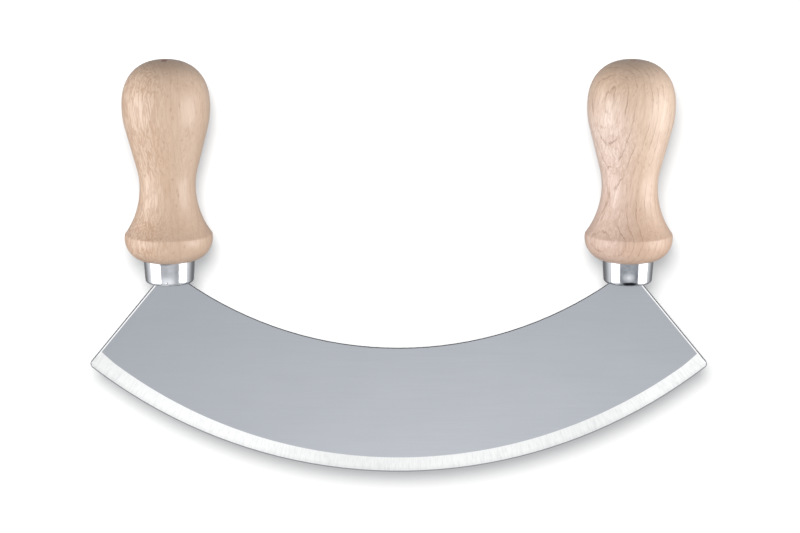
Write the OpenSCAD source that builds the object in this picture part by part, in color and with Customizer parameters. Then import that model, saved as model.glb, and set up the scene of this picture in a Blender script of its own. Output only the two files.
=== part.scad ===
// Mezzaluna: a curved rocking knife with one blade and two upright handles.
// It stands upright, with the handles along +Z and the blade's front face toward -Y.
// The origin is the lowest point of the cutting edge, half way between the handles. Millimetres.

/* [Blade] */
// Length of the blade from tip to tip
blade_length = 230; // [200:1:260]
// Depth of the blade in the middle, from the edge to the hollow back
blade_depth = 48; // [42:0.5:54]
// Thickness of the sheet steel
blade_thickness = 1.5; // [1.2:0.1:2.2]
// Radius of the cutting edge's arc
edge_radius = 181.5; // [170:0.5:200]
// Length of each straight end, from its tip to the shoulder under the ferrule
end_length = 39; // [34:0.5:44]
// Slope of each straight end away from upright, in degrees
end_slope = 39.5; // [36:0.5:43]
// Radius of the rounded tips
tip_radius = 2; // [1:0.1:3]

/* [Grinding] */
// Width of the ground bevel on each side of the edge
bevel_width = 5.8; // [4:0.1:7.5]
// Width of the fine honed bevel at the edge itself
hone_width = 0.45; // [0.3:0.05:0.8]
// Steel left where the honed bevel starts
hone_thickness = 0.4; // [0.3:0.05:0.7]
// Steel left at the edge itself
edge_flat = 0.1; // [0.06:0.02:0.16]
// Width of the polished chamfer along each straight end
end_chamfer = 0.8; // [0.4:0.1:1.1]
// Depth of that chamfer into each face
end_chamfer_depth = 0.3; // [0.15:0.05:0.4]

/* [Tangs] */
// Width of the flat shoulder that each ferrule stands on
shoulder_width = 10.9; // [10:0.1:12.5]
// How far each handle's axis stands in from the outer end of its shoulder
axis_inset = 5; // [4.8:0.1:5.6]
// Width of each tang
tang_width = 7; // [5:0.5:7.5]
// Thickness of each tang, which is pressed a little thinner than the sheet
tang_thickness = 1.3; // [1:0.05:1.4]
// Length of each tang above its shoulder
tang_length = 44; // [32:1:50]
// Width of the tang's blunt point
tang_point_width = 3; // [2:0.5:4]
// Length over which the tang runs to its point
tang_point_length = 9; // [5:0.5:12]

/* [Ferrules] */
// Height of each ferrule
ferrule_height = 8.5; // [7:0.25:12]
// Outer diameter at the top, under the wood
ferrule_top_d = 18.9; // [17.5:0.1:21]
// Outer diameter at the bottom, above the rounded rim
ferrule_bottom_d = 17.9; // [17:0.1:18.5]
// Thickness of the drawn metal
ferrule_wall = 0.8; // [0.5:0.1:1.2]
// Radius of the rounded lower rim
rim_radius = 1.2; // [0.8:0.1:2]
// Diameter of the punch mark that holds the left ferrule
punch_d = 0.9; // [0.6:0.1:1.4]
// Depth of the punch mark
punch_depth = 0.45; // [0.2:0.05:0.5]

/* [Handles] */
// Height of the wood above its ferrule
handle_height = 74; // [68:0.5:84]
// Diameter of the collar bead
collar_d = 32.4; // [29:0.1:36]
// Height of the bead's widest point above the ferrule
collar_rise = 8.3; // [7:0.1:9.5]
// Height of the crisp edge on top of the bead, above its widest point
collar_edge_rise = 1.4; // [0.8:0.1:2.4]
// Diameter of the waist
waist_d = 20.5; // [18:0.1:24]
// Height of the waist above the ferrule
waist_rise = 27.5; // [25:0.5:31]
// Diameter of the bulb
bulb_d = 32.1; // [28:0.1:36]
// Height of the crown, from the bulb's widest level to the top
crown_height = 17; // [14:0.5:20]
// Fullness of the crown: 2 is an ellipse, more is squarer
crown_fullness = 2.33; // [2:0.01:3]
// How straight the neck runs into the bulb, from 0 for two arcs to 1 for a cone
neck_straightness = 0.68; // [0.3:0.01:0.8]
// Share of the neck's curving that lies at the waist
waist_share = 0.44; // [0.35:0.01:0.6]
// Step of the wood over the ferrule's upper rim
wood_step = 0.05; // [0:0.05:0.4]
// Diameter of the bore for the tang
bore_d = 8; // [7.6:0.1:10]
// Length of the bore past the tang's point
bore_spare = 2; // [1:0.5:5]
// Diameter of the lathe-centre hole in the top
centre_hole_d = 2.5; // [1.5:0.1:4]
// Depth of the lathe-centre hole
centre_hole_depth = 3.5; // [2:0.5:8]

/* [Fits] */
// Gap on each side of the tang in the ferrule's slot
slot_gap = 0.15; // [0.1:0.05:0.4]
// Gap between the wood and the ferrule, and between the bedding and the bore
fit_gap = 0.05; // [0.03:0.01:0.1]

/* [Hidden] */

// Facets on a full circle of a turned piece and of the big arcs of the blade
round_fn = 96;
big_fn = 360;
// How far the straight line between two points of an arc may lie from the arc
chord_error = 0.006;
// Points on the crown
crown_points = 20;
// How far a cutting shape runs past what it cuts
past = 1;
// How far each tang runs down inside the blade's own steel
tang_root = 2;

// The rounded tip: its circle touches the cutting edge from inside
tip_x = blade_length / 2 - tip_radius;
tip_z = edge_radius - sqrt(pow(edge_radius - tip_radius, 2) - pow(tip_x, 2));
tip_edge_angle = atan2(tip_z - edge_radius, tip_x);
// Where the rounding ends, a little short of touching, so that it crosses the edge at a clear angle
tip_stop_angle = tip_edge_angle + 5;

// The straight end runs from that circle up to the shoulder
end_start = [tip_x + tip_radius * cos(end_slope), tip_z + tip_radius * sin(end_slope)];
end_top = end_start + end_length * [-sin(end_slope), cos(end_slope)];
shoulder_z = end_top[1];
back_corner_x = end_top[0] - shoulder_width;

// The hollow back passes through the middle depth and both inner shoulder corners
back_rise = shoulder_z - blade_depth;
back_radius = (pow(back_corner_x, 2) + pow(back_rise, 2)) / (2 * back_rise);

// Handle axes, and the levels of the ferrules and the wood
axis_x = end_top[0] - axis_inset;
wood_z = shoulder_z + ferrule_height;
bore_top_z = shoulder_z + tang_length + bore_spare;

// Radii of the turned handle, measured from its own axis
collar_r = collar_d / 2;
waist_r = waist_d / 2;
bulb_r = bulb_d / 2;
bulb_rise = handle_height - crown_height;
foot_r = ferrule_top_d / 2 + wood_step;

// The bead is one arc from the foot of the wood to its widest point and on to the crisp edge
bead_radius = (pow(collar_rise, 2) + pow(collar_r - foot_r, 2)) / (2 * (collar_r - foot_r));
collar_edge_r = collar_r - bead_radius + sqrt(pow(bead_radius, 2) - pow(collar_edge_rise, 2));
bead_foot_angle = -acos((foot_r - collar_r + bead_radius) / bead_radius);
bead_edge_angle = asin(collar_edge_rise / bead_radius);

// The flare from the waist down to the crisp edge is one hollow arc
flare_height = waist_rise - collar_rise - collar_edge_rise;
flare_in = collar_edge_r - waist_r;
flare_radius = (pow(flare_height, 2) + pow(flare_in, 2)) / (2 * flare_in);
flare_angle = asin(flare_height / flare_radius);

// The neck is a hollow arc, a straight cone and a full arc, all tangent
neck_height = bulb_rise - waist_rise;
neck_out = bulb_r - waist_r;
neck_angle = atan(neck_out / neck_height) * (2 - neck_straightness);
neck_arcs = (neck_height * sin(neck_angle) - neck_out * cos(neck_angle)) / (1 - cos(neck_angle));
waist_radius = neck_arcs * waist_share;
side_radius = neck_arcs - waist_radius;

// Points of an arc about a centre, from one angle to another, both ends included
function arc(centre, r, from, to) =
    let (steps = ceil(abs(to - from) / (2 * acos(1 - chord_error / r))))
    [for (i = [0:steps]) let (a = from + (to - from) * i / steps) centre + r * [cos(a), sin(a)]];

// The same points without the first, to join one arc to the end of another
function after_first(points) = [for (i = [1:len(points) - 1]) points[i]];

function mirrored(points) = [for (i = [len(points) - 1:-1:0]) [-points[i][0], points[i][1]]];

// The tang, from the inner side of its foot, over the point, to the outer side of its foot
function tang_points(foot_z) = [
    [axis_x - tang_width / 2, foot_z],
    [axis_x - tang_width / 2, shoulder_z + tang_length - tang_point_length],
    [axis_x - tang_point_width / 2, shoulder_z + tang_length],
    [axis_x + tang_point_width / 2, shoulder_z + tang_length],
    [axis_x + tang_width / 2, shoulder_z + tang_length - tang_point_length],
    [axis_x + tang_width / 2, foot_z]
];

// Right half of the blank without its tang: down the straight end and round the tip, and then
// past the edge, because the grinding cuts the edge itself
function half_blank() = concat(
    [end_top],
    arc([tip_x, tip_z], tip_radius, end_slope, tip_stop_angle),
    [[0, edge_radius] + (edge_radius + past) * [cos(tip_edge_angle), sin(tip_edge_angle)],
     [tip_x + past, -past]]
);

// The blank as it leaves the press, seen from the front, with its hollow back and without tangs
module blank() {
    difference() {
        polygon(concat(half_blank(), mirrored(half_blank())));
        translate([0, blade_depth + back_radius]) circle(r = back_radius, $fn = big_fn);
    }
}

// What the grinding wheel leaves: a disc with a bevel and a honed bevel on both sides
module ground_disc() {
    bevel_slope = (blade_thickness - hone_thickness) / 2 / (bevel_width - hone_width);
    half = [
        [0, blade_thickness / 2 + past],
        [edge_radius - bevel_width - past / bevel_slope, blade_thickness / 2 + past],
        [edge_radius - hone_width, hone_thickness / 2],
        [edge_radius, edge_flat / 2]
    ];
    other_half = [for (i = [len(half) - 1:-1:0]) [half[i][0], -half[i][1]]];
    translate([0, 0, edge_radius]) rotate([90, 0, 0])
        rotate_extrude($fn = big_fn) polygon(concat(half, other_half));
}

// Wedge that chamfers one face along the right-hand straight end, from past the tip to past the top
module end_chamfer_cut() {
    below_tip = 2 * tip_radius;
    translate([end_start[0], 0, end_start[1]]) rotate([0, -end_slope, 0])
        translate([0, 0, -below_tip])
            linear_extrude(height = below_tip + end_length + 2 * past)
                polygon([
                    [-end_chamfer, -blade_thickness / 2],
                    [past, -blade_thickness / 2 + end_chamfer_depth * (1 + past / end_chamfer)],
                    [past, -blade_thickness / 2 - past],
                    [-end_chamfer, -blade_thickness / 2 - past]
                ]);
}

// The ground and chamfered blade, without its tangs
module ground_blade() {
    difference() {
        intersection() {
            rotate([90, 0, 0]) linear_extrude(height = blade_thickness, center = true) blank();
            ground_disc();
        }
        for (side = [0, 1], face = [0, 1])
            mirror([side, 0, 0]) mirror([0, face, 0]) end_chamfer_cut();
    }
}

// One tang, from a foot at a given height up to its point; side is -1 on the left and 1 on the right
module tang(side, foot_z) {
    rotate([90, 0, 0]) linear_extrude(height = tang_thickness, center = true)
        polygon([for (p = tang_points(foot_z)) [side * p[0], p[1]]]);
}

module blade() {
    color([0.67, 0.68, 0.7]) {
        ground_blade();
        for (side = [-1, 1]) tang(side, shoulder_z - tang_root);
    }
}

// Radius of the ferrule's outside at a height above its bottom
function ferrule_r(h) = (ferrule_bottom_d + (ferrule_top_d - ferrule_bottom_d) * h / ferrule_height) / 2;

// Drawn cup, open at the top, with a slot for the tang in its floor
module ferrule() {
    rim = arc([ferrule_r(0) - rim_radius, rim_radius], rim_radius, -90, 0);
    difference() {
        rotate_extrude($fn = round_fn) polygon(concat(
            [[0, 0]],
            rim,
            [[ferrule_r(ferrule_height), ferrule_height],
             [ferrule_r(ferrule_height) - ferrule_wall, ferrule_height],
             [ferrule_r(ferrule_wall) - ferrule_wall, ferrule_wall],
             [0, ferrule_wall]]
        ));
        translate([-tang_width / 2 - slot_gap, -tang_thickness / 2 - slot_gap, -past])
            cube([tang_width + 2 * slot_gap, tang_thickness + 2 * slot_gap, ferrule_wall + 2 * past]);
    }
}

// Dent of a pointed punch in the front of the lower rim
module punch_mark() {
    translate([0, -ferrule_r(0), rim_radius]) rotate([-90, 0, 0])
        translate([0, 0, -punch_depth])
            cylinder(h = 2 * punch_depth, r1 = punch_d, r2 = 0, $fn = 48);
}

// Outline of the wood from the foot up: bead, flare, neck, bulb and crown
function handle_outline() = concat(
    arc([collar_r - bead_radius, collar_rise], bead_radius, bead_foot_angle, bead_edge_angle),
    after_first(arc([waist_r + flare_radius, waist_rise], flare_radius, 180 + flare_angle, 180)),
    after_first(arc([waist_r + waist_radius, waist_rise], waist_radius, 180, 180 - neck_angle)),
    arc([bulb_r - side_radius, bulb_rise], side_radius, -neck_angle, 0),
    [for (i = [1:crown_points]) let (a = 90 * i / crown_points, power = 2 / crown_fullness)
        [bulb_r * pow(cos(a), power), bulb_rise + crown_height * pow(sin(a), power)]]
);

// Turned handle, its foot at z = 0 and its tenon below that, inside the ferrule
module handle() {
    tenon_depth = ferrule_height - ferrule_wall - fit_gap;
    tenon_low_r = ferrule_r(ferrule_wall + fit_gap) - ferrule_wall - fit_gap;
    tenon_top_r = ferrule_r(ferrule_height) - ferrule_wall - fit_gap;
    difference() {
        rotate_extrude($fn = round_fn) polygon(concat(
            [[0, -tenon_depth], [tenon_low_r, -tenon_depth], [tenon_top_r, 0]],
            handle_outline()
        ));
        translate([0, 0, -tenon_depth - past])
            cylinder(h = bore_top_z - wood_z + tenon_depth + past, d = bore_d, $fn = 64);
        translate([0, 0, handle_height - centre_hole_depth])
            cylinder(h = centre_hole_depth + past, d = centre_hole_d, $fn = 48);
        translate([0, 0, handle_height - centre_hole_depth - centre_hole_d / 2])
            cylinder(h = centre_hole_d / 2, r1 = 0, r2 = centre_hole_d / 2, $fn = 48);
    }
}

// Resin that has set round the tang and fills the bore
module tang_bedding(side) {
    low_z = shoulder_z + ferrule_wall + fit_gap;
    color([0.55, 0.42, 0.28]) difference() {
        translate([side * axis_x, 0, low_z])
            cylinder(h = bore_top_z - fit_gap - low_z, d = bore_d - 2 * fit_gap, $fn = 64);
        tang(side, shoulder_z);
    }
}

module left_ferrule() {
    color([0.8, 0.81, 0.83]) translate([-axis_x, 0, shoulder_z]) difference() {
        ferrule();
        punch_mark();
    }
}

module right_ferrule() {
    color([0.8, 0.81, 0.83]) translate([axis_x, 0, shoulder_z]) ferrule();
}

module left_handle() {
    color([0.87, 0.74, 0.63]) translate([-axis_x, 0, wood_z]) handle();
}

module right_handle() {
    color([0.87, 0.74, 0.63]) translate([axis_x, 0, wood_z]) handle();
}

module left_tang_bedding() {
    tang_bedding(-1);
}

module right_tang_bedding() {
    tang_bedding(1);
}

blade();
left_ferrule();
right_ferrule();
left_handle();
right_handle();
left_tang_bedding();
right_tang_bedding();
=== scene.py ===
# %% [markdown]
# # A mezzaluna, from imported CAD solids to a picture
#
# A mezzaluna is a curved rocking knife: one sheet of ground steel between two turned handles.
# Its shape was made in CAD and arrives here as a fixed frame. This lesson gives that frame its
# looks: waxed beech for the handles, rolled and ground steel for the blade, polished steel for
# the ferrules, and round it all the white table and the lamps of a small product studio.
# Every length is in metres, as Blender counts them, and MM turns a millimetre into a metre.

# %% Load the frame
import math

import bmesh
import bpy
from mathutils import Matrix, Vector


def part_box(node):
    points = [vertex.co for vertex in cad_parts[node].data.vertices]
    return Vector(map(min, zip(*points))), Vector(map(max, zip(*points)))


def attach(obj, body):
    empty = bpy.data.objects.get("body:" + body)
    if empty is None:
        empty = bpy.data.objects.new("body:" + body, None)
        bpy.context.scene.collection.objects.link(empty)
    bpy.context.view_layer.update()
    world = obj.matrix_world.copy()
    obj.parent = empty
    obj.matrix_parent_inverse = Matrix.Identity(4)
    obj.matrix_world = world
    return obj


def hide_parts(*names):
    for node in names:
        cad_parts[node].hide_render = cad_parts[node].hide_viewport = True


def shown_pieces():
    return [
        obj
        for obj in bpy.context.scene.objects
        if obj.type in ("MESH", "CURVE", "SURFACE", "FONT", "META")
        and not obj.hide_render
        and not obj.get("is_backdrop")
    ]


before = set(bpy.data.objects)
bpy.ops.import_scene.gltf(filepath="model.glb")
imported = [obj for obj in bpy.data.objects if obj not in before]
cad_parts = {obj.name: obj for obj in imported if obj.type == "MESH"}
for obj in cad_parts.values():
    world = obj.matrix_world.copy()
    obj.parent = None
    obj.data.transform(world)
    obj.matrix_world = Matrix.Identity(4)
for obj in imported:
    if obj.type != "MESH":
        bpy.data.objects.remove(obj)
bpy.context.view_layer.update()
print("nodes:", ", ".join(sorted(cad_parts)))

# %% [markdown]
# ## Units, colours and nodes
#
# Drawings of tools are in millimetres, and colours are picked as sRGB hex values, as a paint
# program shows them, while Blender mixes light in linear numbers, so one function converts them.
# Materials are small networks. One function adds a node, sets it and wires its inputs, which
# keeps each recipe short enough to read.

# %% Units, colour and nodes
MM = 0.001


def linear(hex_colour):
    """Turns an sRGB hex value into the linear RGBA that Blender works in."""
    channels = [int(hex_colour[i : i + 2], 16) / 255 for i in (0, 2, 4)]
    return tuple(
        c / 12.92 if c <= 0.04045 else ((c + 0.055) / 1.055) ** 2.4 for c in channels
    ) + (1.0,)


def feed(tree, node, inputs):
    """Gives each input of a node its value, or a wire from the node or socket that feeds it."""
    for socket, value in inputs.items():
        if isinstance(value, bpy.types.Node):
            value = value.outputs[0]
        if isinstance(value, bpy.types.NodeSocket):
            tree.links.new(value, node.inputs[socket])
        else:
            node.inputs[socket].default_value = value


def add(tree, kind, inputs=None, **settings):
    """Adds one node: settings are its own properties, inputs are values or what feeds them."""
    node = tree.nodes.new(kind)
    for name, value in settings.items():
        setattr(node, name, value)
    feed(tree, node, inputs or {})
    return node


print("mid grey 808080 is", round(linear("808080")[0], 3), "in linear light")

# %% [markdown]
# ## Patterns of a real size, and layers of paint
#
# A finish is built up as a painter would do it: a first colour, then layers that each cover a
# share of what lies below. The shares come from patterns in three dimensions, placed and sized in
# millimetres of the piece itself, so they stay where they are from any side. Five helpers do this:
# a material to begin with, the piece's coordinates in millimetres, noise stretched to a real
# size, a soft spot, and the layers. A sixth fills the stops of a colour ramp.

# %% Patterns and layers


def new_material(name):
    """A new material, its node tree and its shader."""
    material = bpy.data.materials.new(name)
    material.use_nodes = True
    return material, material.node_tree, material.node_tree.nodes["Principled BSDF"]


def in_millimetres(tree):
    """The piece's own coordinates, counted in millimetres."""
    place = add(tree, "ShaderNodeTexCoord")
    scale = (1 / MM, 1 / MM, 1 / MM)
    return add(tree, "ShaderNodeMapping", {"Vector": place.outputs["Object"], "Scale": scale})


def sized_noise(tree, place, size, detail):
    """Noise whose patches measure size in mm along X, Y and Z, with finer octaves as detail."""
    cells = add(tree, "ShaderNodeMapping", {"Vector": place, "Scale": tuple(1 / s for s in size)})
    return add(tree, "ShaderNodeTexNoise", {"Vector": cells, "Scale": 1.0, "Detail": detail})


def soft_spot(tree, place, centre, stretch, inner, outer):
    """A share of 1 within inner mm of a centre and 0 beyond outer mm, longer by stretch."""
    squeeze = tuple(1 / s for s in stretch)
    middle = tuple(c / s for c, s in zip(centre, stretch))
    squeezed = add(tree, "ShaderNodeVectorMath", {0: place, 1: squeeze}, operation="MULTIPLY")
    distance = add(tree, "ShaderNodeVectorMath", {0: squeezed, 1: middle}, operation="DISTANCE")
    reach = {"From Min": inner, "From Max": outer, "To Min": 1.0, "To Max": 0.0}
    return add(tree, "ShaderNodeMapRange", {"Value": distance.outputs["Value"], **reach})


def painted(tree, colour, *layers):
    """Lays colours over a first one. A layer is the share that it covers, then its colour."""
    for share, paint in layers:
        below, above = (linear(c) if isinstance(c, str) else c for c in (colour, paint))
        layer = add(
            tree, "ShaderNodeMix", {"Factor": share, "A": below, "B": above}, data_type="RGBA"
        )
        colour = layer.outputs["Result"]
    return colour


def fill_ramp(ramp_node, *stops):
    """Sets a ramp's stops, from 0 to 1: a position, a grey and, where it differs, its blue."""
    marks = ramp_node.color_ramp.elements
    for position, grey, *blue in stops:
        end = {0.0: 0, 1.0: -1}.get(position)
        mark = marks.new(position) if end is None else marks[end]
        mark.color = (grey, grey, *(blue or [grey]), 1)


print("patterns are sized in mm:", 1 / MM, "to the metre")

# %% [markdown]
# ## The camera
#
# The picture was taken from in front and a little above, with a long lens. The viewing angle, the
# distance and the lens were worked out from where the blade's tips, the bottom of its edge and the
# tops of the handles fall in the picture. A camera stands like a lamp does: somewhere in a
# direction from its subject, facing it. So one function stands both of them.

# %% Camera
CAMERA_ELEVATION = 12.0  # degrees
CAMERA_DISTANCE = 0.8
LENS_MM, SENSOR_MM = 97.37, 36.0
NEAREST_SEEN = 0.01
AIM = Vector((0.000486, 0.0, 0.07914))


def direction(azimuth, elevation):
    """The way from the tool to a place, from angles in degrees. Azimuth 0 is the camera's side."""
    a, e = math.radians(azimuth), math.radians(elevation)
    return Vector((math.sin(a) * math.cos(e), -math.cos(a) * math.cos(e), math.sin(e)))


def stand(name, data, subject, way, distance):
    """Stands a camera or a lamp at a distance from its subject and turns it to face it."""
    stood = bpy.data.objects.new(name, data)
    stood.location = subject + distance * way
    stood.rotation_mode = "QUATERNION"
    stood.rotation_quaternion = (-way).to_track_quat("-Z", "Y")
    bpy.context.scene.collection.objects.link(stood)
    return stood


camera_data = bpy.data.cameras.new("studio_camera")
camera_data.lens, camera_data.sensor_width = LENS_MM, SENSOR_MM
camera_data.clip_start = NEAREST_SEEN
camera = stand(
    "studio_camera", camera_data, AIM, direction(0, CAMERA_ELEVATION), CAMERA_DISTANCE
)
bpy.context.scene.camera = camera
print("camera at", [round(v, 4) for v in camera.location])

# %% [markdown]
# ## Beech: growth lines and rays
#
# The handles are steamed beech, turned and sanded on a lathe and lightly waxed. Beech is a pinkish
# tan wood with three marks that the eye knows it by: thin, crooked, darker lines where one year's
# growth ends, countless short rays that cut across the rings and show as brown dashes, and very
# fine fibres along the grain. All three are volumes in the real tree, so they are made here as
# patterns in three dimensions. The lathe then cuts them as it cuts real wood: lines on the waist,
# loops on the bulb, and dots on the end grain.
#
# The pattern space has X away from the heart of the tree, Y along a ring and Z along the grain.

# %% Growth lines and rays
HEART_DISTANCE = 55.0  # mm from the handle's axis to the heart of the tree
RING_SPACING = 2.6  # mm between growth lines of a slowly grown beech
# The other sizes are in mm away from the heart, along a ring and along the grain.
RING_BENDS, BEND_PUSH = (14.0, 14.0, 42.0), 6.0  # slow bends, and how far they push a ring
RING_KINKS, KINK_PUSH = (1.4, 1.4, 4.0), 1.1  # small kinks, which push the fibres too
LINE_BREAKS = (5.0, 5.0, 9.0)  # stretches in which a growth line shows or fades
RAYS = (1.9, 0.62, 3.4)  # a cell for each ray
FADED, CLEAR, FAINTEST = 0.40, 0.58, 0.08  # values of the breaks' noise, and what a line keeps
LATE_WOOD = ((0.0, 0.0), (0.55, 0.04), (0.87, 0.16), (0.93, 1.0), (0.96, 0.8), (1.0, 0.15))
RAY_CORE, RAY_RIM = 0.14, 0.34  # parts of a cell, where a ray is full and where it ends
PALE_RAYS, DARK_RAYS = 0.35, 0.75  # values of the cell's random colour


def growth_lines(tree, grain, kinks, depth):
    """Thin dark lines where a year's growth ends, bent with the trunk and broken in places."""
    bends = sized_noise(tree, grain, RING_BENDS, 1.0)
    parts = add(tree, "ShaderNodeSeparateXYZ", {"Vector": grain})
    from_heart = add(
        tree, "ShaderNodeMath", {0: parts.outputs["X"], 1: HEART_DISTANCE}, operation="ADD"
    )
    flat = add(tree, "ShaderNodeCombineXYZ", {"X": from_heart, "Y": parts.outputs["Y"]})
    radius = add(tree, "ShaderNodeVectorMath", {0: flat}, operation="LENGTH").outputs["Value"]
    for pushing, push in ((bends, BEND_PUSH), (kinks, KINK_PUSH)):
        radius = add(
            tree, "ShaderNodeMath", {0: pushing, 1: push, 2: radius}, operation="MULTIPLY_ADD"
        )
    years = add(tree, "ShaderNodeMath", {0: radius, 1: RING_SPACING}, operation="DIVIDE")
    season = add(tree, "ShaderNodeMath", {0: years}, operation="FRACT")
    late_wood = add(tree, "ShaderNodeValToRGB", {"Fac": season})
    fill_ramp(late_wood, *LATE_WOOD)
    shown = add(
        tree,
        "ShaderNodeMapRange",
        {
            "Value": sized_noise(tree, grain, LINE_BREAKS, 2.0),
            "From Min": FADED,
            "From Max": CLEAR,
            "To Min": FAINTEST,
            "To Max": depth,
        },
    )
    return add(tree, "ShaderNodeMath", {0: late_wood, 1: shown}, operation="MULTIPLY")


def ray_flecks(tree, grain):
    """Flat spindles that point at the heart of the tree, some of them darker than others."""
    cells = add(tree, "ShaderNodeMapping", {"Vector": grain, "Scale": tuple(1 / s for s in RAYS)})
    spindle = add(tree, "ShaderNodeTexVoronoi", {"Vector": cells, "Scale": 1.0})
    ends = {"From Min": RAY_CORE, "From Max": RAY_RIM, "To Min": 1.0, "To Max": 0.0}
    shape = add(tree, "ShaderNodeMapRange", {"Value": spindle, **ends})
    some = add(
        tree,
        "ShaderNodeMapRange",
        {"Value": spindle.outputs["Color"], "From Min": PALE_RAYS, "From Max": DARK_RAYS},
    )
    return add(tree, "ShaderNodeMath", {0: shape, 1: some}, operation="MULTIPLY")


print("growth lines every", RING_SPACING, "mm, a ray every", RAYS[1], "mm along them")

# %% [markdown]
# ## Beech: fibres and seams
#
# Fibres run a little crooked, pushed aside by the same kinks as the rings, and lie in bundles
# that took up more or less wax. Where two bundles part, sanding lifts a thin crooked seam. A noise
# gives such seams where it crosses its own middle value. They show best on the left side of each
# handle, where the wood was cut against the grain.

# %% Fibres and seams
FIBRES = (0.33, 0.33, 6.0)  # mm, coarser than real fibres, so that they show
BUNDLES = (1.1, 1.1, 13.0)  # mm
SEAMS = (1.15, 1.15, 12.0)  # mm
CLOUDS = (9.0, 9.0, 30.0)  # mm, where the wood is a little paler or darker
SEAM_SHARP, SEAM_SOFT = 0.01, 0.09  # how far from the noise's middle a seam is full, and gone
ROUGH_SIDE, SMOOTH_SIDE = -6.0, 3.0  # mm across the handle, where the rough side is full, and gone


def seam_lines(tree, crooked):
    """Thin crooked seams between bundles of fibres: the level lines of a stretched noise."""
    noise = sized_noise(tree, crooked, SEAMS, 1.5)
    from_level = add(tree, "ShaderNodeMath", {0: noise, 1: 0.5}, operation="SUBTRACT")
    off_level = add(tree, "ShaderNodeMath", {0: from_level}, operation="ABSOLUTE")
    width = {"From Min": SEAM_SHARP, "From Max": SEAM_SOFT, "To Min": 1.0, "To Max": 0.0}
    return add(tree, "ShaderNodeMapRange", {"Value": off_level, **width})


def kinked(tree, grain, kinks):
    """The pattern space with its fibres pushed aside by the kinks of the rings."""
    push = (KINK_PUSH, KINK_PUSH, 0.0)
    aside = add(
        tree, "ShaderNodeVectorMath", {0: kinks.outputs["Color"], 1: push}, operation="MULTIPLY"
    )
    return add(tree, "ShaderNodeVectorMath", {0: grain, 1: aside}, operation="ADD")


print("fibres", FIBRES[0], "mm thick in bundles of", BUNDLES[0], "mm")

# %% [markdown]
# ## Beech: two cuts from the plank
#
# Each handle is its own cut. Turning the pattern space about Z decides whether the front shows
# loops or straight lines, and a lean lets the lines run out at the side. The left handle has
# straight grain with deep seams. The right one shows loops, and a pale left side that fades out
# toward the crown: partly sapwood, partly a painted sheen where the left softbox lights it. Both
# handles are darker toward the foot. Just in front of the lathe-centre hole a brown spot is painted
# as the hole's shade, clear on the left crown and faint on the right one. End grain drinks more wax,
# so it is darker and greyer on the crown and under the bead, and the same colour carries painted
# shade on the crown. Wax leaves a satin coat over fibres that stand up a little, and so the
# highlight breaks into streaks.

# %% Beech material
HANDLE_HEIGHT = 74.0  # mm from the foot of the wood to the top of the crown
SAP_TOP, SAP_FULL = 66.0, 48.0  # mm above the foot, where the pale side fades in
DARK_FOOT_TOP, DARK_FOOT_FULL = 44.0, 8.0  # mm above the foot, where the darker foot fades in
HOLE_SHADE_CORE, HOLE_SHADE_R, HOLE_SHADE_FORWARD = 0.81, 1.35, 2.7  # mm, the last one in front of the hole
HOLE_SHADE_STRETCH = (1.0, 1.75, 1.0)
RAY_STRENGTH = 0.4
WAX_COAT, WAX_ROUGHNESS = 0.7, 0.34
FIBRE_RELIEF = 0.12  # mm that the fibres stand up, at half strength


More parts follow.
